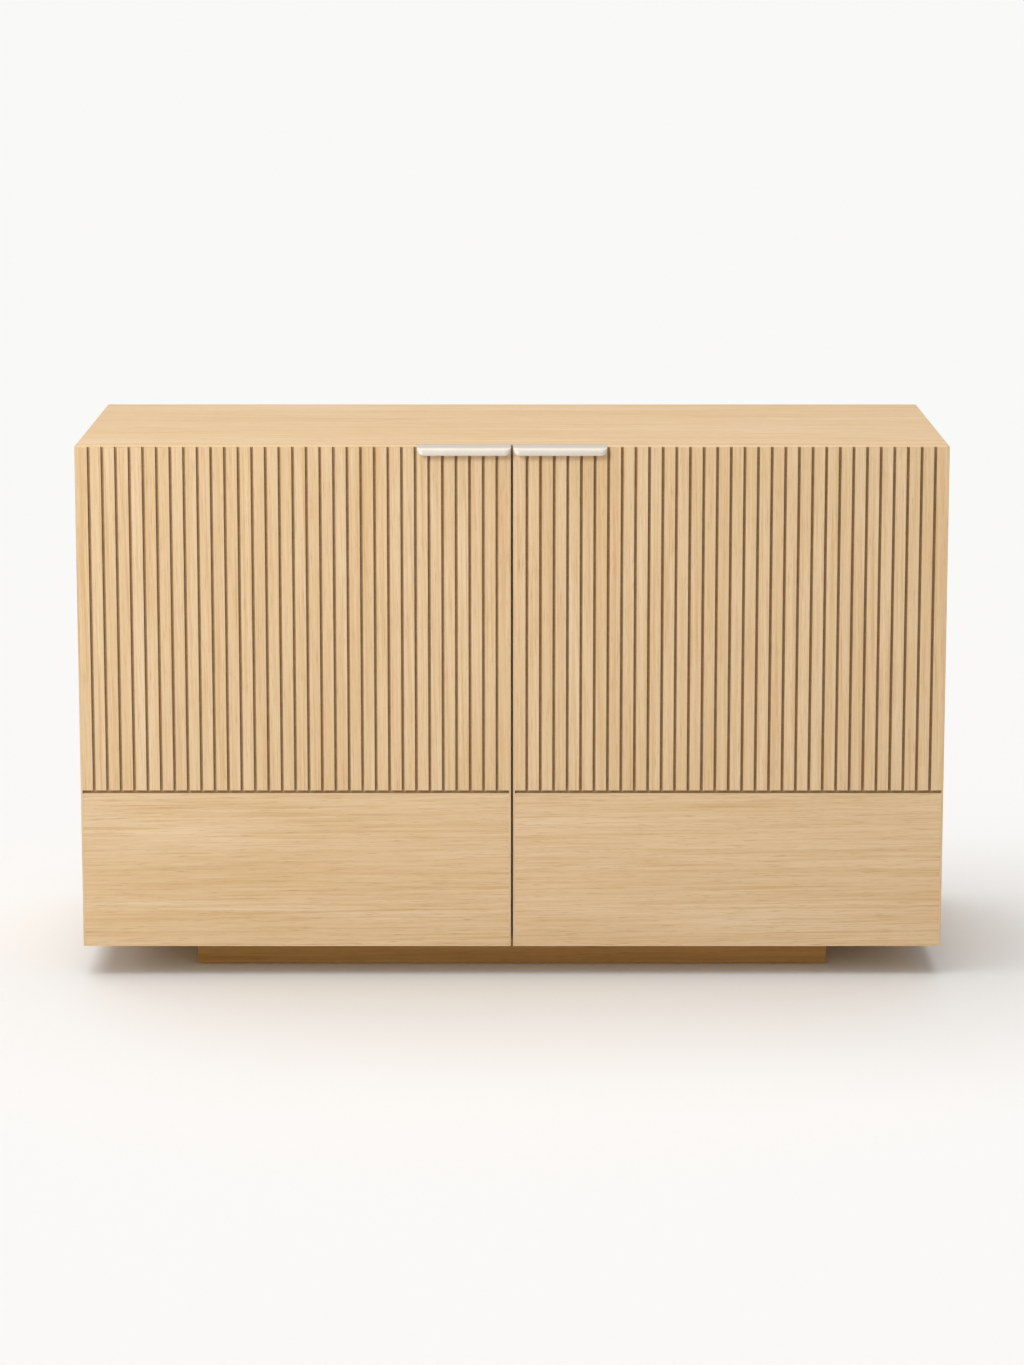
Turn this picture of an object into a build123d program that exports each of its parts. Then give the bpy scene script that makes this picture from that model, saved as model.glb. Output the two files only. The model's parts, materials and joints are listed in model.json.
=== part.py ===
from build123d import *
import os

# Media cabinet: a veneered carcass on a recessed plinth, with two slatted full-overlay doors.
# Millimetres. X runs along the cabinet, Y from the doors to the back, Z up from the floor.
# The origin is on the floor, in the middle of the whole outline, handles included.

# Overall size
WIDTH = 1200
DEPTH = 400
HEIGHT = 750
BOARD = 20
PLINTH_HEIGHT = 42
PLINTH_WIDTH = 890
PLINTH_RECESS = 52
PLINTH_BOARD = 18
GLIDE_LIFT = 1

# Doors
DOOR_GAP = 2
CENTRE_GAP = 3
LIPPING = 2.5
EDGE_BAND = 1
VENEER = 0.6
SLAT_COUNT = 32
GROOVE_WIDTH = 4
GROOVE_DEPTH = 4
LOWER_PANEL_HEIGHT = 220

# Edge pulls on the door tops
HANDLE_LENGTH = 129
HANDLE_REACH = 14
HANDLE_DROP = 10.5
HANDLE_THICK = 2
HANDLE_LEG = 30
HANDLE_CORNER = 9

# Concealed cup hinges
CUP_RADIUS = 17.5
CUP_DEPTH = 12
CUP_EDGE = 5
HINGE_INSET = 100
PLATE_SETBACK = 37
SYSTEM_HOLE = 2.5

# Shelves, back and fittings
SHELF_THICK = 18
SHELF_DEPTH = 330
SHELF_CLEAR = 1
PIN_PITCH = 32
PIN_ROWS = 7
BACK_THICK = 8
REBATE = 10
OUTLET_RADIUS = 30
DOWEL_RADIUS = 4
DOWEL_LENGTH = 30
SCREW_FIT = 0.05

# Levels and depths worked out from the sizes above
DOOR_FRONT = HANDLE_REACH - (DEPTH + HANDLE_REACH) / 2
BACK = DOOR_FRONT + DEPTH
DOOR_BACK = DOOR_FRONT + BOARD
CARCASS_FRONT = DOOR_BACK + DOOR_GAP
SIDE = WIDTH / 2
INNER_SIDE = SIDE - BOARD
FLOOR_TOP = PLINTH_HEIGHT + BOARD
TOP_UNDERSIDE = HEIGHT - BOARD
PANEL_BACK = BACK - BACK_THICK
HALF_BOARD = BOARD / 2
DOOR_INNER = -CENTRE_GAP / 2
CORE_LEFT = -SIDE + LIPPING
CORE_RIGHT = DOOR_INNER - LIPPING
SLAT_PITCH = (CORE_RIGHT - CORE_LEFT + GROOVE_WIDTH) / SLAT_COUNT
SLAT_WIDTH = SLAT_PITCH - GROOVE_WIDTH
LOWER_TOP = PLINTH_HEIGHT + LOWER_PANEL_HEIGHT
SLAT_FOOT = LOWER_TOP + GROOVE_WIDTH
GROOVE_FLOOR = DOOR_FRONT + GROOVE_DEPTH
CORE_FRONT = DOOR_FRONT + VENEER
CORE_BACK = DOOR_BACK - VENEER
HINGE_LEVELS = (PLINTH_HEIGHT + HINGE_INSET, HEIGHT - HINGE_INSET)
CUP_X = -SIDE + CUP_EDGE + CUP_RADIUS
PLATE_Y = CARCASS_FRONT + PLATE_SETBACK
SHELF_LEVEL = (FLOOR_TOP + TOP_UNDERSIDE) / 2
SHELF_BACK = PANEL_BACK - 2
SHELF_FRONT = SHELF_BACK - SHELF_DEPTH
PIN_COLUMNS = (SHELF_FRONT + 40, SHELF_BACK - 40)
PIN_START = SHELF_LEVEL - SHELF_THICK / 2 - SYSTEM_HOLE
OUTLET_POINTS = ((-SIDE / 2, FLOOR_TOP + 60), (SIDE / 2, FLOOR_TOP + 60))

os.makedirs("parts", exist_ok=True)


def save(builder, label):
    """Labels a finished piece and writes it as its own STEP file."""
    builder.part.label = label
    export_step(builder.part, f"parts/{label}.step")


def save_right(left, label):
    """Writes the right-hand twin of a left-hand piece."""
    with BuildPart() as right:
        mirror(left.part, about=Plane.YZ)
    save(right, label)


def slab(x_span, y_span, z_span, mode=Mode.ADD):
    """A rectangular board, or a cut of that shape, between three pairs of limits."""
    with BuildSketch(Plane.XY.offset(z_span[0])) as outline:
        with Locations((sum(x_span) / 2, sum(y_span) / 2)):
            Rectangle(x_span[1] - x_span[0], y_span[1] - y_span[0])
    extrude(outline.sketch, amount=z_span[1] - z_span[0], mode=mode)


def rounds(plane, points, radius, length, mode=Mode.ADD):
    """Round bars, or round holes, that start on a plane at each of its points."""
    with BuildSketch(plane) as circles:
        with Locations(*points):
            Circle(radius)
    extrude(circles.sketch, amount=length, mode=mode)


def countersunk(plane, points, head_radius, shank_radius, length, mode=Mode.ADD):
    """Countersunk screws with their heads flush with a plane. A negative length runs against its normal."""
    head_height = (head_radius - shank_radius) * (1 if length > 0 else -1)
    for point in points:
        with BuildSketch(plane) as head:
            with Locations(point):
                Circle(head_radius)
        with BuildSketch(plane.offset(head_height)) as neck:
            with Locations(point):
                Circle(shank_radius)
        loft(sections=[head.sketch, neck.sketch], mode=mode)
    rounds(plane, points, shank_radius, length, mode)


def cross_recess(plane, points, size, depth):
    """The crossed driver slots in screw heads."""
    with BuildSketch(plane) as slots:
        with Locations(*points):
            Rectangle(size, size / 4)
            Rectangle(size / 4, size)
    extrude(slots.sketch, amount=depth, mode=Mode.SUBTRACT)


def facing_back(y):
    """A plane across Y whose normal points to the back. Its points are (-x, z)."""
    return Plane(origin=(0, y, 0), x_dir=(-1, 0, 0), z_dir=(0, 1, 0))


def facing_right(x):
    """A plane across X whose normal points to the right. Its points are (y, z)."""
    return Plane.YZ.offset(x)


def facing_up(z):
    """A level plane whose points are (x, y)."""
    return Plane.XY.offset(z)


def from_back(y):
    """A plane across Y whose normal points to the front. Its points are (x, z)."""
    return Plane.XZ.offset(-y)


# ---------------------------------------------------------------- carcass boards

JOINT_DEPTHS = (CARCASS_FRONT + 60, (CARCASS_FRONT + PANEL_BACK) / 2, PANEL_BACK - 60)
CAM_DEPTHS = (CARCASS_FRONT + 105, PANEL_BACK - 105)
CAM_REACH = 24
CAM_RADIUS = 7.5
CAM_HEIGHT = 13
BOLT_RADIUS = 3.5
BOLT_ANCHOR = 11
FLOOR_MIDDLE = (PLINTH_HEIGHT + FLOOR_TOP) / 2
SPLINE_WIDTH = 12
SPLINE_THICK = 4
SPLINE_SPAN = (CARCASS_FRONT + 30, PANEL_BACK - 30)
MITRE_CENTRE = (-SIDE + HALF_BOARD, HEIGHT - HALF_BOARD)
SIDE_DOWELS = [(y, FLOOR_MIDDLE) for y in JOINT_DEPTHS]
CAM_POINTS = [(y, FLOOR_MIDDLE) for y in CAM_DEPTHS]
PARTITION_DOWELS = [(0, y) for y in JOINT_DEPTHS]
PARTITION_DOWEL_DEPTH = 12
PIN_POINTS = [
    (y, PIN_START + PIN_PITCH * (row - PIN_ROWS // 2))
    for y in PIN_COLUMNS
    for row in range(PIN_ROWS)
]
PIN_HOLE_DEPTH = 9
PLATE_SCREW_LENGTH = 13
PLATE_POINTS = [(PLATE_Y, z + step) for z in HINGE_LEVELS for step in (-16, 16)]
BACK_SPAN = INNER_SIDE + REBATE
BACK_LEVELS = (FLOOR_TOP - REBATE, TOP_UNDERSIDE + REBATE)
BACK_SCREW_LEVELS = [FLOOR_TOP - REBATE / 2, TOP_UNDERSIDE + REBATE / 2]
BACK_SCREW_XS = [-500, -300, -100, 100, 300, 500]
BACK_SCREWS = [(x, z) for x in BACK_SCREW_XS for z in BACK_SCREW_LEVELS]
BACK_SCREW_LENGTH = 20
BACK_SCREW_RADIUS = 1.6
BRACKET_WIDTH = 24
BRACKET_LEG = 34
BRACKET_THICK = 2
BRACKET_XS = (-SIDE / 2, SIDE / 2)
BRACKET_HOLE_LEVEL = TOP_UNDERSIDE - 22
BRACKET_SCREW_Y = PANEL_BACK - 22
WALL_HOLE_RADIUS = 3
BLOCK_SIZE = 34
BLOCK_XS = PLINTH_WIDTH / 2 - PLINTH_BOARD - BLOCK_SIZE / 2
PLINTH_FRONT = DOOR_FRONT + PLINTH_RECESS
PLINTH_BACK = BACK - 30
BLOCK_YS = (
    PLINTH_FRONT + PLINTH_BOARD + BLOCK_SIZE / 2,
    PLINTH_BACK - PLINTH_BOARD - BLOCK_SIZE / 2,
)
BLOCK_POINTS = [(x, y) for x in (-BLOCK_XS, BLOCK_XS) for y in BLOCK_YS]
BLOCK_SCREW_LENGTH = 14


def back_rebate():
    """The step round the back edge that the back panel sits in."""
    slab((-BACK_SPAN, BACK_SPAN), (PANEL_BACK, BACK), BACK_LEVELS, Mode.SUBTRACT)


def back_screw_pilots():
    """Pilot holes for the back panel's screws."""
    rounds(from_back(PANEL_BACK), BACK_SCREWS, BACK_SCREW_RADIUS, BACK_SCREW_LENGTH, Mode.SUBTRACT)


def spline_profile(plane):
    """The plywood spline's section, square across the left mitre."""
    with BuildSketch(plane) as section:
        with Locations(MITRE_CENTRE):
            Rectangle(SPLINE_WIDTH, SPLINE_THICK, rotation=45)
    return section.sketch


def spline_cut():
    """The groove for the spline, on the left mitre."""
    length = SPLINE_SPAN[1] - SPLINE_SPAN[0]
    extrude(spline_profile(from_back(SPLINE_SPAN[1])), amount=length, mode=Mode.SUBTRACT)


with BuildPart() as top_panel:
    with BuildSketch(from_back(BACK)) as top_section:
        with BuildLine():
            Polyline(
                (-SIDE, HEIGHT),
                (SIDE, HEIGHT),
                (INNER_SIDE, TOP_UNDERSIDE),
                (-INNER_SIDE, TOP_UNDERSIDE),
                close=True,
            )
        make_face()
    extrude(amount=BACK - CARCASS_FRONT)
    back_rebate()
    back_screw_pilots()
    spline_cut()
    mirrored_cut = mirror(spline_profile(from_back(SPLINE_SPAN[1])), about=Plane.YZ, mode=Mode.PRIVATE)
    extrude(mirrored_cut, amount=SPLINE_SPAN[1] - SPLINE_SPAN[0], dir=(0, -1, 0), mode=Mode.SUBTRACT)
    rounds(facing_up(TOP_UNDERSIDE), PARTITION_DOWELS, DOWEL_RADIUS, PARTITION_DOWEL_DEPTH, Mode.SUBTRACT)
    for bracket_x in BRACKET_XS:
        rounds(facing_up(TOP_UNDERSIDE), [(bracket_x, BRACKET_SCREW_Y)], 2, 14, Mode.SUBTRACT)
save(top_panel, "top_panel")

with BuildPart() as left_side_panel:
    with BuildSketch(from_back(BACK)) as side_section:
        with BuildLine():
            Polyline(
                (-SIDE, PLINTH_HEIGHT),
                (-INNER_SIDE, PLINTH_HEIGHT),
                (-INNER_SIDE, TOP_UNDERSIDE),
                (-SIDE, HEIGHT),
                close=True,
            )
        make_face()
    extrude(amount=BACK - CARCASS_FRONT)
    back_rebate()
    spline_cut()
    inner_face = facing_right(-INNER_SIDE)
    rounds(inner_face, SIDE_DOWELS, DOWEL_RADIUS, -12, Mode.SUBTRACT)
    rounds(inner_face, CAM_POINTS, BOLT_RADIUS, -BOLT_ANCHOR, Mode.SUBTRACT)
    rounds(inner_face, PIN_POINTS, SYSTEM_HOLE, -PIN_HOLE_DEPTH, Mode.SUBTRACT)
    rounds(inner_face, PLATE_POINTS, SYSTEM_HOLE, -PLATE_SCREW_LENGTH, Mode.SUBTRACT)
save(left_side_panel, "left_side_panel")
save_right(left_side_panel, "right_side_panel")

with BuildPart() as bottom_panel:
    slab((-INNER_SIDE, INNER_SIDE), (CARCASS_FRONT, BACK), (PLINTH_HEIGHT, FLOOR_TOP))
    back_rebate()
    back_screw_pilots()
    for end in (-1, 1):
        end_face = facing_right(end * INNER_SIDE)
        rounds(end_face, SIDE_DOWELS, DOWEL_RADIUS, -end * (DOWEL_LENGTH - 12), Mode.SUBTRACT)
        rounds(end_face, CAM_POINTS, BOLT_RADIUS, -end * CAM_REACH, Mode.SUBTRACT)
        cam_centres = [(end * (INNER_SIDE - CAM_REACH), y) for y in CAM_DEPTHS]
        rounds(facing_up(PLINTH_HEIGHT), cam_centres, CAM_RADIUS, CAM_HEIGHT, Mode.SUBTRACT)
    rounds(facing_up(FLOOR_TOP), PARTITION_DOWELS, DOWEL_RADIUS, -PARTITION_DOWEL_DEPTH, Mode.SUBTRACT)
    rounds(facing_up(PLINTH_HEIGHT), BLOCK_POINTS, 2, BLOCK_SCREW_LENGTH, Mode.SUBTRACT)
save(bottom_panel, "bottom_panel")

with BuildPart() as centre_partition:
    slab((-HALF_BOARD, HALF_BOARD), (CARCASS_FRONT, PANEL_BACK), (FLOOR_TOP, TOP_UNDERSIDE))
    dowel_rest = DOWEL_LENGTH - PARTITION_DOWEL_DEPTH
    rounds(facing_up(FLOOR_TOP), PARTITION_DOWELS, DOWEL_RADIUS, dowel_rest, Mode.SUBTRACT)
    rounds(facing_up(TOP_UNDERSIDE), PARTITION_DOWELS, DOWEL_RADIUS, -dowel_rest, Mode.SUBTRACT)
    for face in (-1, 1):
        wall = facing_right(face * HALF_BOARD)
        rounds(wall, PIN_POINTS, SYSTEM_HOLE, -face * PIN_HOLE_DEPTH, Mode.SUBTRACT)
save(centre_partition, "centre_partition")

with BuildPart() as back_panel:
    slab((-BACK_SPAN, BACK_SPAN), (PANEL_BACK, BACK), BACK_LEVELS)
    rounds(from_back(BACK), OUTLET_POINTS, OUTLET_RADIUS, BACK_THICK, Mode.SUBTRACT)
    wall_holes = [(x, BRACKET_HOLE_LEVEL) for x in BRACKET_XS]
    rounds(from_back(BACK), wall_holes, WALL_HOLE_RADIUS, BACK_THICK, Mode.SUBTRACT)
    countersunk(from_back(BACK), BACK_SCREWS, 3, BACK_SCREW_RADIUS, BACK_THICK, Mode.SUBTRACT)
save(back_panel, "back_panel")

with BuildPart() as left_shelf:
    shelf_span = (-INNER_SIDE + SHELF_CLEAR, -HALF_BOARD - SHELF_CLEAR)
    shelf_heights = (SHELF_LEVEL - SHELF_THICK / 2, SHELF_LEVEL + SHELF_THICK / 2)
    slab(shelf_span, (SHELF_FRONT, SHELF_BACK), shelf_heights)
    fillet(left_shelf.edges().filter_by(Axis.X).group_by(Axis.Y)[0], radius=1)
save(left_shelf, "left_shelf")
save_right(left_shelf, "right_shelf")

# ---------------------------------------------------------------- carcass fittings

PIN_REACH = 7

with BuildPart() as shelf_pins:
    pin_seats = [(y, PIN_START) for y in PIN_COLUMNS]
    for wall_x, inward in ((-INNER_SIDE, 1), (-HALF_BOARD, -1), (HALF_BOARD, 1), (INNER_SIDE, -1)):
        rounds(facing_right(wall_x), pin_seats, SYSTEM_HOLE, -inward * (PIN_HOLE_DEPTH - 1))
        rounds(facing_right(wall_x), pin_seats, SYSTEM_HOLE, inward * PIN_REACH)
        rounds(facing_right(wall_x), pin_seats, SYSTEM_HOLE + 1.2, inward * 0.9)
    for pin_x in (-INNER_SIDE, HALF_BOARD):
        above_hole = (PIN_START + SYSTEM_HOLE, HEIGHT)
        slab((pin_x, pin_x + 2 * PIN_REACH), (-DEPTH, DEPTH), above_hole, Mode.SUBTRACT)
        slab((-pin_x - 2 * PIN_REACH, -pin_x), (-DEPTH, DEPTH), above_hole, Mode.SUBTRACT)
save(shelf_pins, "shelf_pins")

with BuildPart() as mitre_splines:
    extrude(spline_profile(from_back(SPLINE_SPAN[1])), amount=SPLINE_SPAN[1] - SPLINE_SPAN[0])
    mirror(about=Plane.YZ)
save(mitre_splines, "mitre_splines")

with BuildPart() as carcass_dowels:
    for end in (-1, 1):
        rounds(facing_right(end * (INNER_SIDE + 12)), SIDE_DOWELS, DOWEL_RADIUS, -end * DOWEL_LENGTH)
    rounds(facing_up(FLOOR_TOP - PARTITION_DOWEL_DEPTH), PARTITION_DOWELS, DOWEL_RADIUS, DOWEL_LENGTH)
    rounds(facing_up(TOP_UNDERSIDE + PARTITION_DOWEL_DEPTH), PARTITION_DOWELS, DOWEL_RADIUS, -DOWEL_LENGTH)
save(carcass_dowels, "carcass_dowels")

with BuildPart() as cam_bolts:
    for end in (-1, 1):
        rounds(facing_right(end * INNER_SIDE), CAM_POINTS, BOLT_RADIUS - SCREW_FIT, end * (BOLT_ANCHOR - 0.5))
        rounds(facing_right(end * INNER_SIDE), CAM_POINTS, 2.5, -end * (CAM_REACH - CAM_RADIUS - 1))
        rounds(facing_right(end * (INNER_SIDE - CAM_REACH + 8.5)), CAM_POINTS, 3.2, end * 2)
save(cam_bolts, "cam_bolts")

with BuildPart() as cam_locks:
    for end in (-1, 1):
        cam_centres = [(end * (INNER_SIDE - CAM_REACH), y) for y in CAM_DEPTHS]
        cam_face = facing_up(PLINTH_HEIGHT + 0.2)
        rounds(cam_face, cam_centres, CAM_RADIUS - SCREW_FIT, CAM_HEIGHT - 0.4)
        cross_recess(cam_face, cam_centres, 7, 2.5)
        slot_start = end * (INNER_SIDE - CAM_REACH)
        rounds(facing_right(slot_start), CAM_POINTS, BOLT_RADIUS, end * CAM_RADIUS, Mode.SUBTRACT)
save(cam_locks, "cam_locks")

with BuildPart() as back_panel_screws:
    screw_total = BACK_THICK + BACK_SCREW_LENGTH - 2
    countersunk(from_back(BACK), BACK_SCREWS, 3, BACK_SCREW_RADIUS, screw_total)
    cross_recess(from_back(BACK), BACK_SCREWS, 2.8, 1)
save(back_panel_screws, "back_panel_screws")

with BuildPart() as cable_grommets:
    rounds(from_back(BACK), OUTLET_POINTS, OUTLET_RADIUS - 0.2, BACK_THICK)
    rounds(from_back(PANEL_BACK), OUTLET_POINTS, OUTLET_RADIUS + 3, 1.6)
    rounds(from_back(BACK), OUTLET_POINTS, OUTLET_RADIUS - 2, BACK_THICK + 1.6, Mode.SUBTRACT)
    rim = cable_grommets.edges().filter_by(GeomType.CIRCLE).group_by(Axis.Y)[0]
    fillet(rim.sort_by(SortBy.RADIUS)[-2:], radius=0.7)
save(cable_grommets, "cable_grommets")

with BuildPart() as wall_brackets:
    for bracket_x in BRACKET_XS:
        half = BRACKET_WIDTH / 2
        sides = (bracket_x - half, bracket_x + half)
        slab(sides, (PANEL_BACK - BRACKET_LEG, PANEL_BACK), (TOP_UNDERSIDE - BRACKET_THICK, TOP_UNDERSIDE))
        slab(sides, (PANEL_BACK - BRACKET_THICK, PANEL_BACK), (TOP_UNDERSIDE - BRACKET_LEG, TOP_UNDERSIDE))
        rounds(facing_up(TOP_UNDERSIDE - BRACKET_THICK), [(bracket_x, BRACKET_SCREW_Y)], 2.2, 2, Mode.SUBTRACT)
        wall_hole = [(bracket_x, BRACKET_HOLE_LEVEL)]
        rounds(from_back(PANEL_BACK), wall_hole, WALL_HOLE_RADIUS, BRACKET_THICK, Mode.SUBTRACT)
    ends = wall_brackets.edges().filter_by(Axis.Y).group_by(Axis.Z)[0]
    fillet(ends, radius=5)
save(wall_brackets, "wall_brackets")

with BuildPart() as wall_bracket_screws:
    bracket_screw_points = [(x, BRACKET_SCREW_Y) for x in BRACKET_XS]
    head_level = facing_up(TOP_UNDERSIDE - BRACKET_THICK - 2)
    rounds(head_level, bracket_screw_points, 4, 2)
    fillet(wall_bracket_screws.edges().group_by(Axis.Z)[0], radius=1.2)
    rounds(head_level, bracket_screw_points, 2 - SCREW_FIT, 16)
    cross_recess(head_level, bracket_screw_points, 4, 1.2)
save(wall_bracket_screws, "wall_bracket_screws")

# ---------------------------------------------------------------- plinth

HALF_PLINTH = PLINTH_WIDTH / 2
PLINTH_INNER = HALF_PLINTH - PLINTH_BOARD
RAIL_SPAN = (PLINTH_FRONT + PLINTH_BOARD, PLINTH_BACK - PLINTH_BOARD)
PLINTH_LEVELS = (GLIDE_LIFT, PLINTH_HEIGHT)
GLIDE_RADIUS = 6
GLIDE_POINTS = [
    (x, y)
    for x in (-HALF_PLINTH + 20, 0, HALF_PLINTH - 20)
    for y in (PLINTH_FRONT + PLINTH_BOARD / 2, PLINTH_BACK - PLINTH_BOARD / 2)
]


def glide_seats():
    """Shallow round seats for the glides in the plinth's lower edge."""
    rounds(facing_up(GLIDE_LIFT), GLIDE_POINTS, GLIDE_RADIUS, 2, Mode.SUBTRACT)


with BuildPart() as plinth_front:
    slab((-HALF_PLINTH, HALF_PLINTH), (PLINTH_FRONT, RAIL_SPAN[0]), PLINTH_LEVELS)
    front_corners = plinth_front.edges().filter_by(Axis.Z).group_by(Axis.Y)[0]
    fillet(front_corners, radius=1)
    glide_seats()
save(plinth_front, "plinth_front")

with BuildPart() as plinth_back:
    slab((-HALF_PLINTH, HALF_PLINTH), (RAIL_SPAN[1], PLINTH_BACK), PLINTH_LEVELS)
    glide_seats()
save(plinth_back, "plinth_back")

with BuildPart() as plinth_left_rail:
    slab((-HALF_PLINTH, -PLINTH_INNER), RAIL_SPAN, PLINTH_LEVELS)
save(plinth_left_rail, "plinth_left_rail")
save_right(plinth_left_rail, "plinth_right_rail")

with BuildPart() as plinth_cross_rail:
    slab((-PLINTH_BOARD / 2, PLINTH_BOARD / 2), RAIL_SPAN, PLINTH_LEVELS)
save(plinth_cross_rail, "plinth_cross_rail")

with BuildPart() as plinth_corner_blocks:
    for block_x, block_y in BLOCK_POINTS:
        half = BLOCK_SIZE / 2
        slab((block_x - half, block_x + half), (block_y - half, block_y + half), (12, PLINTH_HEIGHT))
    rounds(facing_up(12), BLOCK_POINTS, 2.2, PLINTH_HEIGHT - 12, Mode.SUBTRACT)
    rounds(facing_up(12), BLOCK_POINTS, 4.5, 6, Mode.SUBTRACT)
save(plinth_corner_blocks, "plinth_corner_blocks")

with BuildPart() as plinth_screws:
    rounds(facing_up(15), BLOCK_POINTS, 4, 3)
    fillet(plinth_screws.edges().group_by(Axis.Z)[0], radius=1)
    rounds(facing_up(15), BLOCK_POINTS, 2 - SCREW_FIT, PLINTH_HEIGHT + BLOCK_SCREW_LENGTH - 16)
    cross_recess(facing_up(15), BLOCK_POINTS, 4, 1.5)
save(plinth_screws, "plinth_screws")

with BuildPart() as plinth_glides:
    rounds(facing_up(0), GLIDE_POINTS, GLIDE_RADIUS - SCREW_FIT, GLIDE_LIFT + 2)
    fillet(plinth_glides.edges().group_by(Axis.Z)[0], radius=0.6)
save(plinth_glides, "plinth_glides")

# ---------------------------------------------------------------- left door, and its twin

HANDLE_SPAN = (DOOR_INNER - HANDLE_LENGTH, DOOR_INNER)
GROOVE_CENTRES = [CORE_LEFT + SLAT_PITCH * n - GROOVE_WIDTH / 2 for n in range(1, SLAT_COUNT)]
SLAT_TOP = HEIGHT - EDGE_BAND
CUP_POINTS = [(-CUP_X, z) for z in HINGE_LEVELS]
CUP_SCREW_X = CUP_X + 9.5
CUP_SCREW_STEP = 22.5
CUP_SCREW_STEPS = (-CUP_SCREW_STEP, CUP_SCREW_STEP)
CUP_SCREW_POINTS = [(-CUP_SCREW_X, z + step) for z in HINGE_LEVELS for step in CUP_SCREW_STEPS]
CUP_SCREW_LENGTH = 12
HANDLE_SCREW_XS = [HANDLE_SPAN[0] + 25, HANDLE_SPAN[1] - 25]
HANDLE_SCREW_LEVEL = HEIGHT - HANDLE_LEG + 8
HANDLE_SCREW_POINTS = [(-x, HANDLE_SCREW_LEVEL) for x in HANDLE_SCREW_XS]
HANDLE_SCREW_LENGTH = 13
BUMPER_POINTS = [(-DOOR_INNER + 8, z) for z in (PLINTH_HEIGHT + 11, HEIGHT - 45)]


def handle_seat():
    """The step in a door's top edge and back that the edge pull sits in, flush."""
    slab(HANDLE_SPAN, (DOOR_FRONT, DOOR_BACK), (HEIGHT - HANDLE_THICK, HEIGHT), Mode.SUBTRACT)
    leg_depth = (DOOR_BACK - HANDLE_THICK, DOOR_BACK)
    slab(HANDLE_SPAN, leg_depth, (HEIGHT - HANDLE_LEG, HEIGHT), Mode.SUBTRACT)


def slat_grooves(top):
    """The upright grooves, and the level one under them."""
    for x in GROOVE_CENTRES:
        half = GROOVE_WIDTH / 2
        slab((x - half, x + half), (DOOR_FRONT, GROOVE_FLOOR), (LOWER_TOP, top), Mode.SUBTRACT)
    slab((CORE_LEFT, CORE_RIGHT), (DOOR_FRONT, GROOVE_FLOOR), (LOWER_TOP, SLAT_FOOT), Mode.SUBTRACT)


def back_fixings():
    """The cup seats and screw pilots bored into a door's back."""
    rounds(facing_back(DOOR_BACK), CUP_POINTS, CUP_RADIUS, -CUP_DEPTH - 0.4, Mode.SUBTRACT)
    rounds(facing_back(DOOR_BACK), CUP_SCREW_POINTS, 1.75, -CUP_SCREW_LENGTH, Mode.SUBTRACT)
    rounds(facing_back(DOOR_BACK), HANDLE_SCREW_POINTS, 1.75, -HANDLE_SCREW_LENGTH, Mode.SUBTRACT)


with BuildPart() as left_door_core:
    slab((CORE_LEFT, CORE_RIGHT), (CORE_FRONT, CORE_BACK), (PLINTH_HEIGHT + EDGE_BAND, SLAT_TOP))
    slat_grooves(HEIGHT)
    back_fixings()
    handle_seat()
save(left_door_core, "left_door_core")
save_right(left_door_core, "right_door_core")

with BuildPart() as left_door_slats:
    for slat in range(SLAT_COUNT):
        slat_x = CORE_LEFT + SLAT_PITCH * slat
        slab((slat_x, slat_x + SLAT_WIDTH), (DOOR_FRONT, CORE_FRONT), (SLAT_FOOT, SLAT_TOP))
    handle_seat()
save(left_door_slats, "left_door_slats")
save_right(left_door_slats, "right_door_slats")

with BuildPart() as left_door_lower_face:
    slab((CORE_LEFT, CORE_RIGHT), (DOOR_FRONT, CORE_FRONT), (PLINTH_HEIGHT + EDGE_BAND, LOWER_TOP))
save(left_door_lower_face, "left_door_lower_face")
save_right(left_door_lower_face, "right_door_lower_face")

with BuildPart() as left_door_back_veneer:
    slab((CORE_LEFT, CORE_RIGHT), (CORE_BACK, DOOR_BACK), (PLINTH_HEIGHT + EDGE_BAND, SLAT_TOP))
    back_fixings()
    handle_seat()
save(left_door_back_veneer, "left_door_back_veneer")
save_right(left_door_back_veneer, "right_door_back_veneer")

with BuildPart() as left_door_lippings:
    for strip_x in (-SIDE, CORE_RIGHT):
        slab((strip_x, strip_x + LIPPING), (DOOR_FRONT, DOOR_BACK), (PLINTH_HEIGHT, HEIGHT))
    outer_edges = left_door_lippings.edges().filter_by(Axis.Z).group_by(Axis.X)
    fillet(outer_edges[0] + outer_edges[-1], radius=0.8)
    handle_seat()
save(left_door_lippings, "left_door_lippings")
save_right(left_door_lippings, "right_door_lippings")

with BuildPart() as left_door_edge_bands:
    slab((CORE_LEFT, CORE_RIGHT), (DOOR_FRONT, DOOR_BACK), (PLINTH_HEIGHT, PLINTH_HEIGHT + EDGE_BAND))
    slab((CORE_LEFT, CORE_RIGHT), (DOOR_FRONT, DOOR_BACK), (SLAT_TOP, HEIGHT))
    slat_grooves(HEIGHT)
    handle_seat()
save(left_door_edge_bands, "left_door_edge_bands")
save_right(left_door_edge_bands, "right_door_edge_bands")

LIP_ROUND = HANDLE_THICK / 2
LIP_FLAT = HANDLE_REACH - HANDLE_DROP + LIP_ROUND
LIP_BEND = HANDLE_DROP - LIP_ROUND
END_BEND = HANDLE_THICK + 0.4
END_STEPS = (0, 0.3, 0.55, 0.75, 0.9, 1)
HALF_ROOT = 2**0.5 / 2


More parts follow.
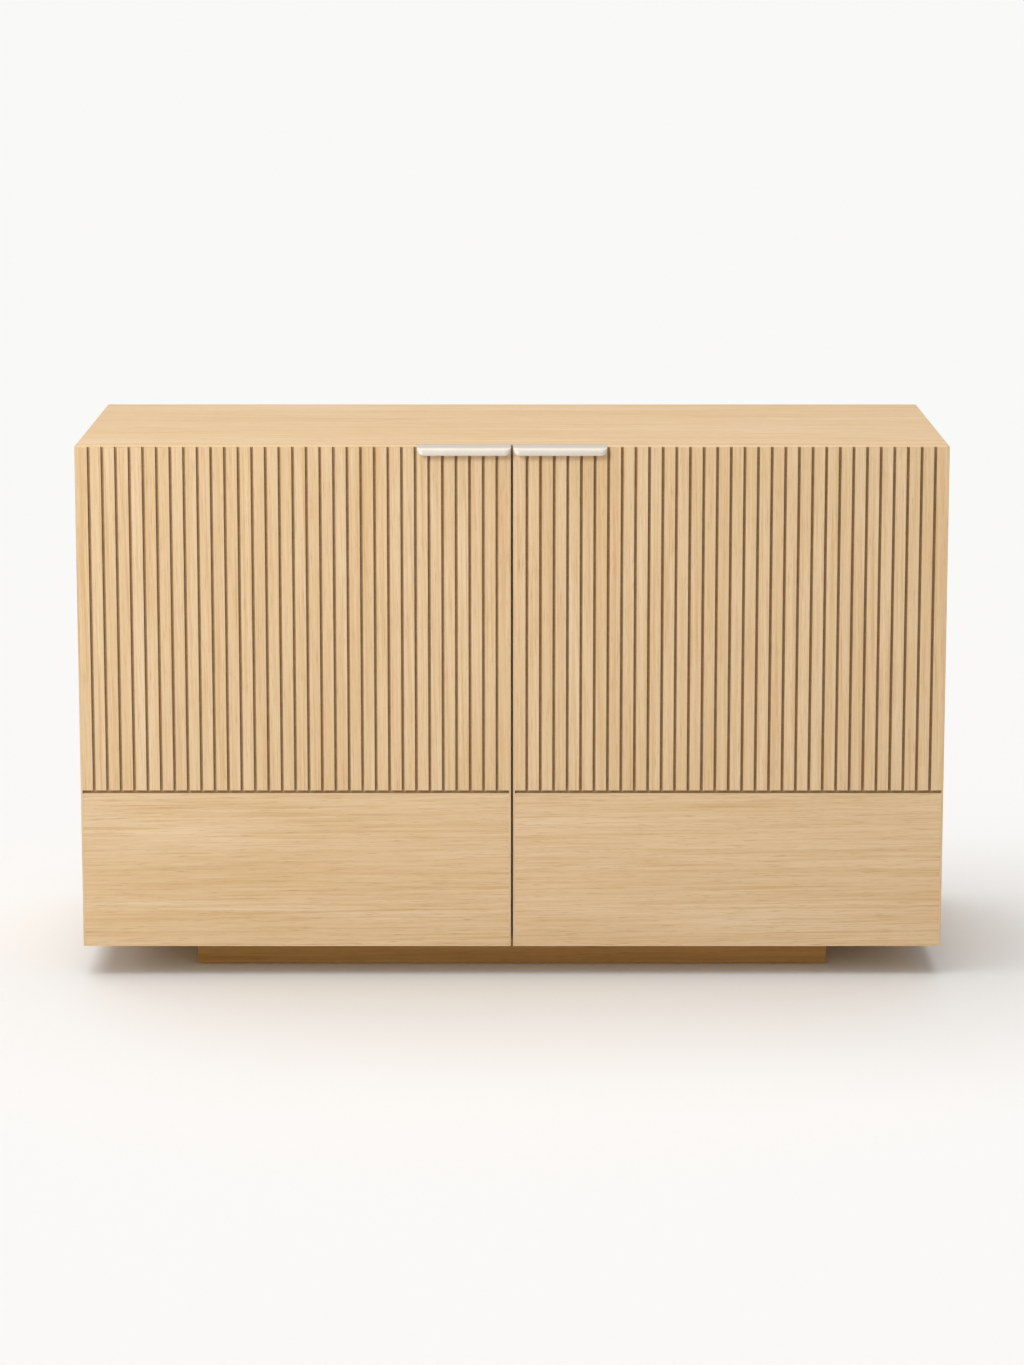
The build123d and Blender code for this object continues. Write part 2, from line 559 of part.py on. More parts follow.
def pull_section(x, bend):
    """The pull's section: a leg down the door's back, a flat over its top and a lip bent down in front."""
    centre_y = DOOR_FRONT - LIP_FLAT
    centre_z = HEIGHT - bend
    inner = bend - HANDLE_THICK
    with BuildSketch(facing_right(x)) as section:
        with BuildLine():
            Polyline(
                (centre_y, HEIGHT),
                (DOOR_BACK, HEIGHT),
                (DOOR_BACK, HEIGHT - HANDLE_LEG),
                (DOOR_BACK - HANDLE_THICK, HEIGHT - HANDLE_LEG),
                (DOOR_BACK - HANDLE_THICK, HEIGHT - HANDLE_THICK),
                (centre_y, HEIGHT - HANDLE_THICK),
            )
            ThreePointArc(
                (centre_y, HEIGHT - HANDLE_THICK),
                (centre_y - inner * HALF_ROOT, centre_z + inner * HALF_ROOT),
                (centre_y - inner, centre_z),
            )
            ThreePointArc(
                (centre_y - inner, centre_z),
                (centre_y - inner - LIP_ROUND, centre_z - LIP_ROUND),
                (centre_y - bend, centre_z),
            )
            ThreePointArc(
                (centre_y - bend, centre_z),
                (centre_y - bend * HALF_ROOT, centre_z + bend * HALF_ROOT),
                (centre_y, HEIGHT),
            )
        make_face()
    return section.sketch


with BuildPart() as left_handle:
    lip_start = HANDLE_SPAN[0] + HANDLE_CORNER
    extrude(pull_section(lip_start, LIP_BEND), amount=HANDLE_LENGTH - 2 * HANDLE_CORNER)
    for corner_x, outward in ((lip_start, -1), (HANDLE_SPAN[1] - HANDLE_CORNER, 1)):
        end_sections = [
            pull_section(
                corner_x + outward * HANDLE_CORNER * step,
                END_BEND + (LIP_BEND - END_BEND) * (1 - step**2) ** 0.5,
            )
            for step in END_STEPS
        ]
        loft(sections=end_sections)
    countersunk(facing_back(DOOR_BACK), HANDLE_SCREW_POINTS, 3.5, 1.75, -HANDLE_THICK, Mode.SUBTRACT)
save(left_handle, "left_handle")
save_right(left_handle, "right_handle")

with BuildPart() as left_handle_screws:
    countersunk(facing_back(DOOR_BACK), HANDLE_SCREW_POINTS, 3.5, 1.75 - SCREW_FIT, -HANDLE_SCREW_LENGTH)
    cross_recess(facing_back(DOOR_BACK), HANDLE_SCREW_POINTS, 3.4, -1.2)
save(left_handle_screws, "left_handle_screws")
save_right(left_handle_screws, "right_handle_screws")

with BuildPart() as left_door_bumpers:
    rounds(facing_back(DOOR_BACK), BUMPER_POINTS, 4, DOOR_GAP - 0.1)
    fillet(left_door_bumpers.edges().group_by(Axis.Y)[-1], radius=1)
save(left_door_bumpers, "left_door_bumpers")
save_right(left_door_bumpers, "right_door_bumpers")

# ---------------------------------------------------------------- concealed hinges

FLANGE_THICK = 1.2
CUP_WALL = 1
WING_HALF = 29
PLATE_THICK = 2.5
SADDLE_HEIGHT = 8
SADDLE_HALF = 6.5
ARM_WALL = 1.2
ARM_HALF = 8
ARM_SPAN = (CARCASS_FRONT + 2, PLATE_Y + 28)
ARM_SCREW_YS = (PLATE_Y - 14, PLATE_Y + 14)
ARM_TOP = -INNER_SIDE + PLATE_THICK + SADDLE_HEIGHT + ARM_WALL

with BuildPart() as left_hinge_cups:
    rounds(facing_back(DOOR_BACK), CUP_POINTS, CUP_RADIUS - SCREW_FIT, -CUP_DEPTH)
    with BuildSketch(facing_back(DOOR_BACK)) as flange:
        for cup_point in CUP_POINTS:
            with Locations(cup_point):
                Circle(CUP_RADIUS + 2)
            with Locations((-CUP_SCREW_X, cup_point[1])):
                RectangleRounded(14, 2 * WING_HALF, 6)
    extrude(flange.sketch, amount=FLANGE_THICK)
    cup_rim = facing_back(DOOR_BACK + FLANGE_THICK)
    cup_cavity = CUP_DEPTH + FLANGE_THICK - CUP_WALL
    rounds(cup_rim, CUP_POINTS, CUP_RADIUS - CUP_WALL, -cup_cavity, Mode.SUBTRACT)
    rounds(cup_rim, CUP_SCREW_POINTS, 1.9, -2 * FLANGE_THICK, Mode.SUBTRACT)
save(left_hinge_cups, "left_hinge_cups")
save_right(left_hinge_cups, "right_hinge_cups")

with BuildPart() as left_hinge_cup_screws:
    cup_head = facing_back(DOOR_BACK + FLANGE_THICK)
    rounds(cup_head, CUP_SCREW_POINTS, 3.2, 0.6)
    rounds(cup_head, CUP_SCREW_POINTS, 1.75 - SCREW_FIT, -CUP_SCREW_LENGTH)
    cross_recess(facing_back(DOOR_BACK + FLANGE_THICK + 0.6), CUP_SCREW_POINTS, 3.2, -1)
save(left_hinge_cup_screws, "left_hinge_cup_screws")
save_right(left_hinge_cup_screws, "right_hinge_cup_screws")

with BuildPart() as left_hinge_plates:
    with BuildSketch(facing_right(-INNER_SIDE)) as plate_outline:
        for level in HINGE_LEVELS:
            with Locations((PLATE_Y, level)):
                RectangleRounded(16, 2 * 24, 5)
                RectangleRounded(44, 2 * SADDLE_HALF, 3)
    extrude(plate_outline.sketch, amount=PLATE_THICK)
    for level in HINGE_LEVELS:
        saddle_y = (PLATE_Y - 20, PLATE_Y + 20)
        saddle_x = (-INNER_SIDE + PLATE_THICK, -INNER_SIDE + PLATE_THICK + SADDLE_HEIGHT)
        slab(saddle_x, saddle_y, (level - SADDLE_HALF, level + SADDLE_HALF))
    rounds(facing_right(-INNER_SIDE), PLATE_POINTS, SYSTEM_HOLE, PLATE_THICK, Mode.SUBTRACT)
    arm_screw_points = [(y, level) for y in ARM_SCREW_YS for level in HINGE_LEVELS]
    rounds(facing_right(ARM_TOP), arm_screw_points, 2, -SADDLE_HEIGHT, Mode.SUBTRACT)
save(left_hinge_plates, "left_hinge_plates")
save_right(left_hinge_plates, "right_hinge_plates")

with BuildPart() as hinge_plate_screws:
    plate_face = facing_right(-INNER_SIDE + PLATE_THICK)
    rounds(plate_face, PLATE_POINTS, 3.8, 2)
    fillet(hinge_plate_screws.edges().group_by(Axis.X)[-1], radius=0.8)
    rounds(plate_face, PLATE_POINTS, SYSTEM_HOLE - SCREW_FIT, -PLATE_THICK - PLATE_SCREW_LENGTH + 1)
    cross_recess(facing_right(-INNER_SIDE + PLATE_THICK + 2), PLATE_POINTS, 4, -1.4)
    mirror(about=Plane.YZ)
save(hinge_plate_screws, "hinge_plate_screws")

with BuildPart() as left_hinge_arms:
    for level in HINGE_LEVELS:
        arm_x = (-INNER_SIDE + PLATE_THICK + 1, ARM_TOP)
        slab(arm_x, ARM_SPAN, (level - ARM_HALF, level + ARM_HALF))
    fillet(left_hinge_arms.edges().filter_by(Axis.Y).group_by(Axis.X)[-1], radius=1.1)
    for level in HINGE_LEVELS:
        channel_x = (-INNER_SIDE, ARM_TOP - ARM_WALL)
        channel_z = (level - ARM_HALF + ARM_WALL, level + ARM_HALF - ARM_WALL)
        slab(channel_x, (ARM_SPAN[0] + ARM_WALL, ARM_SPAN[1] + 1), channel_z, Mode.SUBTRACT)
    rounds(facing_right(ARM_TOP), arm_screw_points, 2.2, -ARM_WALL, Mode.SUBTRACT)
save(left_hinge_arms, "left_hinge_arms")
save_right(left_hinge_arms, "right_hinge_arms")

with BuildPart() as hinge_arm_screws:
    rounds(facing_right(ARM_TOP), arm_screw_points, 3.5, 1.6)
    rounds(facing_right(ARM_TOP), arm_screw_points, 2 - SCREW_FIT, -SADDLE_HEIGHT)
    cross_recess(facing_right(ARM_TOP + 1.6), arm_screw_points, 3.6, -1.2)
    mirror(about=Plane.YZ)
save(hinge_arm_screws, "hinge_arm_screws")
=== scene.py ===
import json
import math

import bpy
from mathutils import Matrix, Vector


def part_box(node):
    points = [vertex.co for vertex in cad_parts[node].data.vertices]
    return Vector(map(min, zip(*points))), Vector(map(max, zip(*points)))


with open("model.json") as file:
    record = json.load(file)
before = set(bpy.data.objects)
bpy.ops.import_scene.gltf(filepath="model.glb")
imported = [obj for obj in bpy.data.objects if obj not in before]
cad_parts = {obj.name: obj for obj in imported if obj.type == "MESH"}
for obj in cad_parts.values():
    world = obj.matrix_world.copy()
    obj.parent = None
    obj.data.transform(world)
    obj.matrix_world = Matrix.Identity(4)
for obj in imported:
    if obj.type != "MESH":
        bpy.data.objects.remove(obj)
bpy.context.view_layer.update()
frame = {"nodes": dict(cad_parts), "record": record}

# ---------------------------------------------------------------- sizes read from the frame

CORE_LO, CORE_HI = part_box("left_door_core")
SLATS_LO, SLATS_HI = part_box("left_door_slats")
SLAT_COUNT = 32
GROOVE_WIDTH = 0.004
SLAT_PITCH = (SLATS_HI.x - SLATS_LO.x + GROOVE_WIDTH) / SLAT_COUNT
RIGHT_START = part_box("right_door_slats")[0].x

# ---------------------------------------------------------------- node helpers


class Graph:
    """A short way to write one material's node tree."""

    def __init__(self, name):
        self.material = bpy.data.materials.new(name)
        self.material.use_nodes = True
        self.tree = self.material.node_tree
        self.tree.nodes.clear()
        self.shader = self.add("ShaderNodeBsdfPrincipled")
        output = self.add("ShaderNodeOutputMaterial")
        self.link(self.shader.outputs["BSDF"], output.inputs["Surface"])
        self.place = self.add("ShaderNodeTexCoord").outputs["Object"]

    def add(self, kind, **settings):
        node = self.tree.nodes.new(kind)
        for key, value in settings.items():
            setattr(node, key, value)
        return node

    def link(self, source, target):
        self.tree.links.new(source, target)

    def put(self, socket, value):
        """Links an output, or sets a plain value."""
        if isinstance(value, bpy.types.NodeSocket):
            self.link(value, socket)
        else:
            socket.default_value = value

    def stretch(self, scale, place=None):
        """Object coordinates, scaled by axis."""
        node = self.add("ShaderNodeMapping")
        self.link(place or self.place, node.inputs["Vector"])
        node.inputs["Scale"].default_value = scale
        return node.outputs["Vector"]

    def noise(self, place, detail=3.0, roughness=0.55, distortion=0.0):
        node = self.add("ShaderNodeTexNoise")
        self.link(place, node.inputs["Vector"])
        node.inputs["Scale"].default_value = 1.0
        node.inputs["Detail"].default_value = detail
        node.inputs["Roughness"].default_value = roughness
        node.inputs["Distortion"].default_value = distortion
        return node.outputs["Fac"]

    def ramp(self, value, low, high, out_low=0.0, out_high=1.0):
        """Maps one range of numbers to another, clamped."""
        node = self.add("ShaderNodeMapRange")
        self.put(node.inputs["Value"], value)
        for name, number in zip(("From Min", "From Max", "To Min", "To Max"), (low, high, out_low, out_high)):
            node.inputs[name].default_value = number
        return node.outputs["Result"]

    def maths(self, operation, first, second=0.0):
        node = self.add("ShaderNodeMath", operation=operation)
        self.put(node.inputs[0], first)
        self.put(node.inputs[1], second)
        return node.outputs["Value"]

    def mix(self, amount, first, second, blend="MIX"):
        node = self.add("ShaderNodeMix", data_type="RGBA", blend_type=blend)
        self.put(node.inputs["Factor"], amount)
        for socket, value in ((node.inputs[6], first), (node.inputs[7], second)):
            self.put(socket, value if isinstance(value, bpy.types.NodeSocket) else (*value, 1.0))
        return node.outputs[2]

    def bump(self, height, strength, distance, under=None):
        node = self.add("ShaderNodeBump")
        node.inputs["Strength"].default_value = strength
        node.inputs["Distance"].default_value = distance
        self.link(height, node.inputs["Height"])
        if under:
            self.link(under, node.inputs["Normal"])
        return node.outputs["Normal"]

    def bevel(self, radius):
        """A normal rounded at the edges, for the thin bright line along a real arris."""
        node = self.add("ShaderNodeBevel", samples=4)
        node.inputs["Radius"].default_value = radius
        return node.outputs["Normal"]

    def set(self, **values):
        for name, value in values.items():
            self.put(self.shader.inputs[name.replace("_", " ")], value)


def linear(red, green, blue):
    """A display colour of 0 to 255 as the linear colour that a shader takes."""

    def one(level):
        level /= 255
        return level / 12.92 if level <= 0.04045 else ((level + 0.055) / 1.055) ** 2.4

    return one(red), one(green), one(blue)


# ---------------------------------------------------------------- materials

OAK_LIGHT = linear(229, 202, 165)
OAK_MEAN = linear(222, 190, 147)
OAK_DARK = linear(203, 164, 112)
OAK_PORE = linear(172, 130, 80)
OAK_LINE = linear(196, 148, 86)
GRAIN_LEAN = (0.006, 0.012, 0.009)
GRAIN_AXES = {"X": 0, "Y": 1, "Z": 2}


def grain_scale(axis, along, across):
    """Scales for a pattern that is long along one axis and fine across it."""
    scale = [across] * 3
    scale[GRAIN_AXES[axis]] = along
    return scale


def slat_number(graph, start):
    """Which slat a point is on, counted from the door's left edge."""
    split = graph.add("ShaderNodeSeparateXYZ")
    graph.link(graph.place, split.inputs["Vector"])
    shifted = graph.maths("SUBTRACT", split.outputs["X"], start - GROOVE_WIDTH / 2)
    return graph.maths("FLOOR", graph.maths("DIVIDE", shifted, SLAT_PITCH))


def oak(name, axis, tone_and_painted_light=(1.0, 1.0, 1.0), shift=0.0, slats_from=None, bevel=0.0006):
    """Light oak veneer under a matt lacquer, with its grain along one axis.

    Broad bands drift across the grain, with streaks, fibres, thin darker lines and short pores."""
    graph = Graph(name)
    place = graph.add("ShaderNodeVectorMath", operation="ADD")
    graph.link(graph.place, place.inputs[0])
    place.inputs[1].default_value = (shift, shift * 0.37, shift * 0.71)
    place = place.outputs["Vector"]
    slat_tone = None
    if slats_from is not None:
        number = slat_number(graph, slats_from)
        noise = graph.add("ShaderNodeTexWhiteNoise", noise_dimensions="1D")
        graph.link(number, noise.inputs["W"])
        jump = graph.add("ShaderNodeCombineXYZ")
        graph.link(graph.maths("MULTIPLY", noise.outputs["Value"], 0.15), jump.inputs["Z"])
        moved = graph.add("ShaderNodeVectorMath", operation="ADD")
        graph.link(place, moved.inputs[0])
        graph.link(jump.outputs["Vector"], moved.inputs[1])
        place = moved.outputs["Vector"]
        slat_tone = graph.ramp(noise.outputs["Value"], 0.0, 1.0, 0.0, 0.10)
    lean = graph.add("ShaderNodeMapping")
    graph.link(place, lean.inputs["Vector"])
    lean.inputs["Rotation"].default_value = GRAIN_LEAN
    place = lean.outputs["Vector"]
    bands = graph.noise(graph.stretch(grain_scale(axis, 1.3, 16.0), place), 3.0, 0.5, 0.7)
    streaks = graph.noise(graph.stretch(grain_scale(axis, 3.6, 230.0), place), 4.0, 0.62, 0.2)
    fibres = graph.noise(graph.stretch(grain_scale(axis, 9.0, 520.0), place), 3.0, 0.6)
    lines = graph.noise(graph.stretch(grain_scale(axis, 2.4, 330.0), place), 2.0, 0.5, 0.1)
    pores = graph.noise(graph.stretch(grain_scale(axis, 34.0, 1500.0), place), 2.0, 0.5)
    colour = graph.mix(graph.ramp(bands, 0.32, 0.68), OAK_MEAN, OAK_LIGHT)
    colour = graph.mix(graph.ramp(streaks, 0.44, 0.70, 0.0, 0.50), colour, OAK_DARK)
    colour = graph.mix(graph.ramp(fibres, 0.48, 0.68, 0.0, 0.44), colour, OAK_DARK)
    colour = graph.mix(graph.ramp(lines, 0.60, 0.70, 0.0, 0.40), colour, OAK_LINE)
    pore_mask = graph.ramp(pores, 0.60, 0.70, 0.0, 0.55)
    colour = graph.mix(pore_mask, colour, OAK_PORE)
    if slat_tone is not None:
        colour = graph.mix(slat_tone, colour, OAK_DARK)
    rounded = graph.bevel(bevel)
    edge = edge_mask(graph, rounded)
    colour = graph.mix(edge, colour, OAK_LIGHT)
    # The multiplier is the veneer's own tone on the lower faces, lippings and back, painted shade on the
    # plinth, and a painted highlight on the doors' edge bands.
    if tone_and_painted_light != (1.0, 1.0, 1.0):
        colour = graph.mix(1.0, colour, tone_and_painted_light, "MULTIPLY")
    relief = graph.maths("SUBTRACT", fibres, pore_mask)
    graph.set(
        Base_Color=colour,
        Roughness=graph.ramp(streaks, 0.3, 0.7, 0.46, 0.58),
        Specular_IOR_Level=0.32,
        Normal=graph.bump(relief, 0.35, 0.00012, rounded),
    )
    return graph.material


def edge_mask(graph, rounded):
    """How far a rounded normal turns from the flat one: the rubbed, paler line along an edge."""
    flat = graph.add("ShaderNodeNewGeometry").outputs["Normal"]
    turn = graph.add("ShaderNodeVectorMath", operation="DOT_PRODUCT")
    graph.link(rounded, turn.inputs[0])
    graph.link(flat, turn.inputs[1])
    return graph.ramp(turn.outputs["Value"], 0.995, 0.86, 0.0, 0.45)


def fibreboard(name, tone_and_painted_light=1.0):
    """Raw brown fibreboard, finely speckled with lighter and darker fibres."""
    graph = Graph(name)
    clouds = graph.noise(graph.stretch((60.0,) * 3), 3.0, 0.6)
    specks = graph.noise(graph.stretch((900.0, 900.0, 420.0)), 3.0, 0.7)
    colour = graph.mix(graph.ramp(clouds, 0.3, 0.7), linear(168, 136, 97), linear(182, 150, 110))
    colour = graph.mix(graph.ramp(specks, 0.52, 0.66, 0.0, 0.6), colour, linear(128, 96, 62))
    colour = graph.mix(graph.ramp(specks, 0.40, 0.30, 0.0, 0.5), colour, linear(214, 186, 148))
    # A multiplier above 1 makes the fibreboard lighter: painted light.
    if tone_and_painted_light != 1.0:
        colour = graph.mix(1.0, colour, (tone_and_painted_light, tone_and_painted_light, tone_and_painted_light), "MULTIPLY")
    graph.set(
        Base_Color=colour,
        Roughness=graph.ramp(specks, 0.3, 0.7, 0.82, 0.95),
        Specular_IOR_Level=0.2,
        Normal=graph.bump(specks, 0.5, 0.0002),
    )
    return graph.material


def pale_timber(name, axis):
    """Plain beech or birch ply: close straight grain with short flecks."""
    graph = Graph(name)
    grain = graph.noise(graph.stretch(grain_scale(axis, 6.0, 260.0)), 4.0, 0.6)
    flecks = graph.noise(graph.stretch(grain_scale(axis, 160.0, 1400.0)), 2.0, 0.5)
    colour = graph.mix(graph.ramp(grain, 0.35, 0.65), linear(206, 172, 128), linear(190, 152, 106))
    colour = graph.mix(graph.ramp(flecks, 0.58, 0.68, 0.0, 0.5), colour, linear(158, 118, 76))
    graph.set(
        Base_Color=colour,
        Roughness=graph.ramp(grain, 0.3, 0.7, 0.6, 0.72),
        Normal=graph.bump(grain, 0.4, 0.0002, graph.bevel(0.0004)),
    )
    return graph.material


def satin_metal(name, colour, brush_axis, rough, metallic=1.0, brush=0.25, bevel=0.0003):
    """Plated metal with a fine brushed or rolled grain, and duller smudges."""
    graph = Graph(name)
    lines = graph.noise(graph.stretch(grain_scale(brush_axis, 9.0, 2600.0)), 3.0, 0.6)
    smudges = graph.noise(graph.stretch((45.0,) * 3), 3.0, 0.6)
    darker = tuple(level * 0.86 for level in colour)
    tint = graph.mix(graph.ramp(smudges, 0.35, 0.7, 0.0, 0.35), colour, darker)
    tint = graph.mix(graph.ramp(lines, 0.35, 0.7, 0.0, 0.25), tint, darker)
    rounded = graph.bevel(bevel)
    tint = graph.mix(edge_mask(graph, rounded), tint, tuple(min(1.0, level * 1.12) for level in colour))
    graph.set(
        Base_Color=tint,
        Metallic=metallic,
        Roughness=graph.ramp(lines, 0.3, 0.7, rough - 0.05, rough + 0.07),
        Normal=graph.bump(lines, brush, 0.00004, rounded),
    )
    return graph.material


def moulded(name, light, dark, rough, grain):
    """Moulded plastic or rubber with a fine spark-eroded texture."""
    graph = Graph(name)
    texture = graph.noise(graph.stretch((grain,) * 3), 2.0, 0.6)
    drift = graph.noise(graph.stretch((70.0,) * 3), 2.0, 0.5)
    colour = graph.mix(graph.ramp(drift, 0.3, 0.7), light, dark)
    graph.set(
        Base_Color=colour,
        Roughness=graph.ramp(texture, 0.3, 0.7, rough - 0.06, rough + 0.08),
        Normal=graph.bump(texture, 0.4, 0.00006, graph.bevel(0.0003)),
    )
    return graph.material


OAK_ALONG = oak("oak_level", "X")
# Painted shade: darkens and warms the plinth's oak, standing in for the shade under the doors' overhang.
PLINTH_PAINTED_SHADE = (0.74, 0.57, 0.28)
LOWER_TONE = (0.975, 0.975, 0.975)
LIPPING_TONE = (0.96, 0.95, 0.94)
# Painted highlight: the doors' edge bands are made lighter, for the lit top edges.
BAND_PAINTED_HIGHLIGHT = (1.09, 1.07, 1.05)
BACK_TONE = (0.95, 0.95, 0.95)
# The plinth rails' oak, with the plinth's painted shade.
OAK_DEEP_PAINTED_SHADE = oak("oak_front_to_back_painted_shade", "Y", tone_and_painted_light=PLINTH_PAINTED_SHADE, shift=3.1)
OAK_UP = oak("oak_upright", "Z", shift=7.7)
NODE_MATERIALS = {
    "top_panel": OAK_ALONG,
    "bottom_panel": oak("oak_bottom", "X", shift=11.3),
    "left_side_panel": OAK_UP,
    "right_side_panel": oak("oak_upright_right", "Z", shift=17.9),
    "centre_partition": oak("oak_partition", "Z", shift=23.1),
    "back_panel": oak("oak_back", "X", tone_and_painted_light=BACK_TONE, shift=29.3),
    "left_shelf": oak("oak_left_shelf", "X", shift=31.7),
    "right_shelf": oak("oak_right_shelf", "X", shift=37.1),
    # The plinth's front and back carry the same painted shade.
    "plinth_front": oak("oak_plinth", "X", tone_and_painted_light=PLINTH_PAINTED_SHADE, shift=41.9),
    "plinth_back": oak("oak_plinth_back", "X", tone_and_painted_light=PLINTH_PAINTED_SHADE, shift=43.3),
    "plinth_left_rail": OAK_DEEP_PAINTED_SHADE,
    "plinth_right_rail": OAK_DEEP_PAINTED_SHADE,
    "plinth_cross_rail": OAK_DEEP_PAINTED_SHADE,
}
for side, start, shift in (("left", SLATS_LO.x, 2.3), ("right", RIGHT_START, 5.9)):
    NODE_MATERIALS[f"{side}_door_slats"] = oak(f"oak_{side}_slats", "Z", shift=shift, slats_from=start)
    NODE_MATERIALS[f"{side}_door_lower_face"] = oak(
        f"oak_{side}_lower", "X", tone_and_painted_light=LOWER_TONE, shift=shift + 13
    )
    NODE_MATERIALS[f"{side}_door_back_veneer"] = oak(f"oak_{side}_door_back", "Z", shift=shift + 19)
    NODE_MATERIALS[f"{side}_door_lippings"] = oak(
        f"oak_{side}_lipping", "Z", tone_and_painted_light=LIPPING_TONE, shift=shift + 23
    )
    NODE_MATERIALS[f"{side}_door_edge_bands"] = oak(
        f"oak_{side}_band", "X", tone_and_painted_light=BAND_PAINTED_HIGHLIGHT, shift=shift + 29
    )
# Painted light: the left door's fibreboard is made lighter than the right's, for the better-lit grooves of
# the left door.
NODE_MATERIALS["left_door_core"] = fibreboard("fibreboard_left_painted_light", tone_and_painted_light=1.04)
NODE_MATERIALS["right_door_core"] = fibreboard("fibreboard_right", tone_and_painted_light=1.0)

SLOT_MATERIALS = {
    "handle_metal": satin_metal("warm_nickel", linear(213, 205, 192), "X", 0.5, 0.3, bevel=0.0004),
    "hinge_steel": satin_metal("pressed_nickel", linear(205, 206, 207), "Y", 0.28),
    "zinc_screws": satin_metal("zinc_plate", linear(190, 192, 196), "Y", 0.33),
    "black_nylon": moulded("black_nylon", linear(34, 34, 35), linear(24, 24, 25), 0.48, 1900.0),
    "clear_rubber": moulded("soft_bumper", linear(214, 217, 217), linear(196, 200, 202), 0.35, 1200.0),
    "beech": pale_timber("beech", "Y"),
}
SLOTS = {entry["node"]: entry["material_slot"] for entry in frame["record"]["subparts"]}
for node in frame["nodes"]:
    piece = bpy.data.objects[node]
    material = NODE_MATERIALS.get(node) or SLOT_MATERIALS[SLOTS[node]]
    piece.data.materials.clear()
    piece.data.materials.append(material)

# ---------------------------------------------------------------- floor, light and camera


def make_floor():
    """A plain pale floor, wide enough to fill every view."""
    reach = FLOOR_REACH
    mesh = bpy.data.meshes.new("studio_floor")
    corners = [(-reach, -reach, 0), (reach, -reach, 0), (reach, reach, 0), (-reach, reach, 0)]
    mesh.from_pydata(corners, [], [(0, 1, 2, 3)])
    floor = bpy.data.objects.new("studio_floor", mesh)
    bpy.context.collection.objects.link(floor)
    graph = Graph("studio_floor")
    graph.set(Base_Color=(*FLOOR_COLOUR, 1.0), Roughness=1.0, Specular_IOR_Level=0.0)
    mesh.materials.append(graph.material)


def make_world():
    """Even white light from all round, seen by the camera at the floor's own brightness."""
    world = bpy.data.worlds.new("studio")
    bpy.context.scene.world = world
    world.use_nodes = True
    tree = world.node_tree
    tree.nodes.clear()
    output = tree.nodes.new("ShaderNodeOutputWorld")
    choose = tree.nodes.new("ShaderNodeMixShader")
    ray = tree.nodes.new("ShaderNodeLightPath")
    light = tree.nodes.new("ShaderNodeBackground")
    seen = tree.nodes.new("ShaderNodeBackground")
    light.inputs["Color"].default_value = (1.0, 0.995, 0.985, 1.0)
    light.inputs["Strength"].default_value = WORLD_LIGHT
    seen.inputs["Color"].default_value = (*BACKDROP, 1.0)
    tree.links.new(ray.outputs["Is Camera Ray"], choose.inputs["Fac"])
    tree.links.new(light.outputs["Background"], choose.inputs[1])
    tree.links.new(seen.outputs["Background"], choose.inputs[2])
    tree.links.new(choose.outputs["Shader"], output.inputs["Surface"])


def group_of(name, members):
    """A collection that a light is limited to."""
    group = bpy.data.collections.new(name)
    for member in members:
        group.objects.link(bpy.data.objects[member])
    return group


def add_light(name, kind, energy, receivers, **settings):
    """A lamp that lights one group only. Everything still casts its shadow."""
    data = bpy.data.lights.new(name, kind)
    data.energy = energy
    for key, value in settings.items():
        setattr(data, key, value)
    lamp = bpy.data.objects.new(name, data)
    lamp.rotation_mode = "QUATERNION"
    lamp.light_linking.receiver_collection = receivers
    bpy.context.collection.objects.link(lamp)
    return lamp


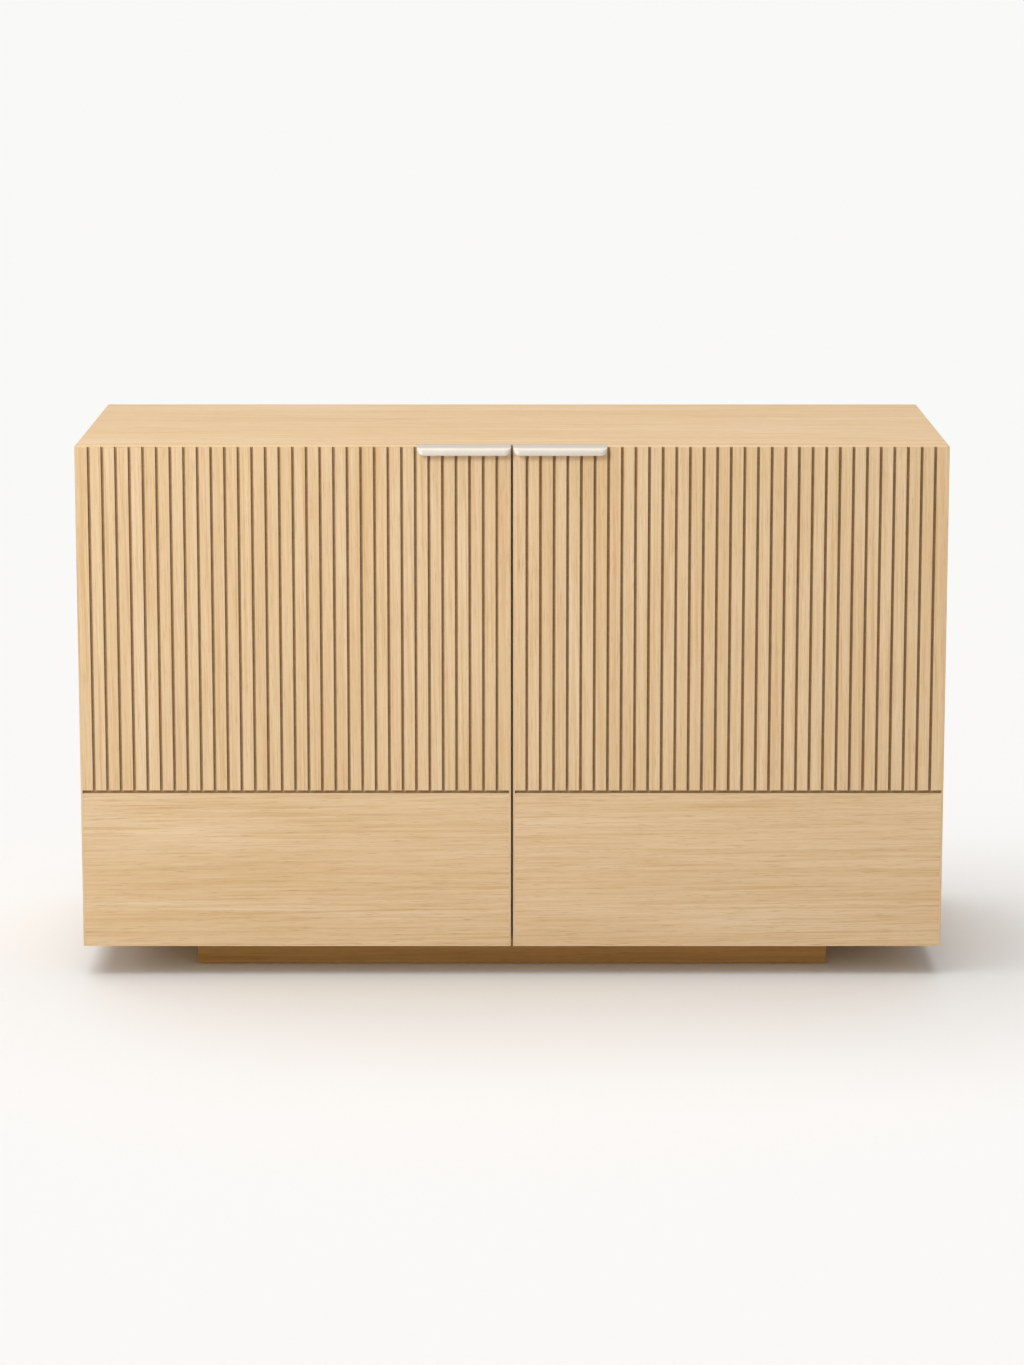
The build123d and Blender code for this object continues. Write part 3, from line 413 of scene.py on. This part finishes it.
def make_lights():
    """Overhead light for the floor and the cabinet, a low light on the floor from the left,
    and a soft box off the cabinet's left corner."""
    floor_group = group_of("lit_floor", ["studio_floor"])
    cabinet_group = group_of("lit_cabinet", frame["nodes"])
    spread = math.radians(OVERHEAD_SPREAD)
    floor_light = add_light("floor_light", "SUN", FLOOR_LIGHT, floor_group, angle=spread)
    floor_light.rotation_quaternion = Vector(FLOOR_LIGHT_FROM).to_track_quat("Z", "Y")
    low_light = add_light("low_light", "SUN", LOW_LIGHT, floor_group, angle=math.radians(LOW_SPREAD))
    low_light.rotation_quaternion = Vector(LOW_LIGHT_FROM).to_track_quat("Z", "Y")
    top_light = add_light("top_light", "SUN", TOP_LIGHT, cabinet_group, angle=spread)
    top_light.rotation_quaternion = Vector(FLOOR_LIGHT_FROM).to_track_quat("Z", "Y")
    soft_box = add_light("soft_box", "AREA", SOFT_BOX, cabinet_group, size=SOFT_BOX_SIZE)
    aim = Vector((0.0, CORE_LO.y, (CORE_LO.z + CORE_HI.z) / 2))
    soft_box.location = aim + Vector(SOFT_BOX_FROM).normalized() * SOFT_BOX_DISTANCE
    soft_box.rotation_quaternion = (soft_box.location - aim).to_track_quat("Z", "Y")


def make_camera():
    """The viewing angle: in front of the cabinet's middle, above it and tilted a little down."""
    data = bpy.data.cameras.new("camera")
    data.sensor_width = 36.0
    data.lens = CAMERA_LENS
    data.shift_y = CAMERA_SHIFT
    data.clip_end = 200.0
    camera = bpy.data.objects.new("camera", data)
    camera.location = (0.0, CORE_LO.y - CAMERA_DISTANCE, CAMERA_HEIGHT)
    camera.rotation_euler = (math.radians(90.0 - CAMERA_PITCH), 0.0, 0.0)
    bpy.context.collection.objects.link(camera)
    bpy.context.scene.camera = camera


BACKDROP = linear(249, 248, 246)
FLOOR_COLOUR = (0.893, 0.892, 0.889)
FLOOR_REACH = 60.0
WORLD_LIGHT = 0.42
FLOOR_LIGHT = 1.90
LOW_LIGHT = 0.40
LOW_LIGHT_FROM = (-0.88, -0.2, 0.42)
LOW_SPREAD = 25.0
FLOOR_LIGHT_FROM = (-0.20, 0.10, 0.97)
OVERHEAD_SPREAD = 60.0
TOP_LIGHT = 1.85
SOFT_BOX = 48.0
SOFT_BOX_FROM = (-0.65, -1.0, 0.75)
SOFT_BOX_DISTANCE = 3.2
SOFT_BOX_SIZE = 0.9
CAMERA_DISTANCE = 4.577
CAMERA_HEIGHT = 1.4811
CAMERA_PITCH = 8.444
CAMERA_LENS = 89.21
CAMERA_SHIFT = -0.20

make_floor()
make_world()
make_lights()
make_camera()
bpy.context.scene.view_settings.view_transform = "Standard"
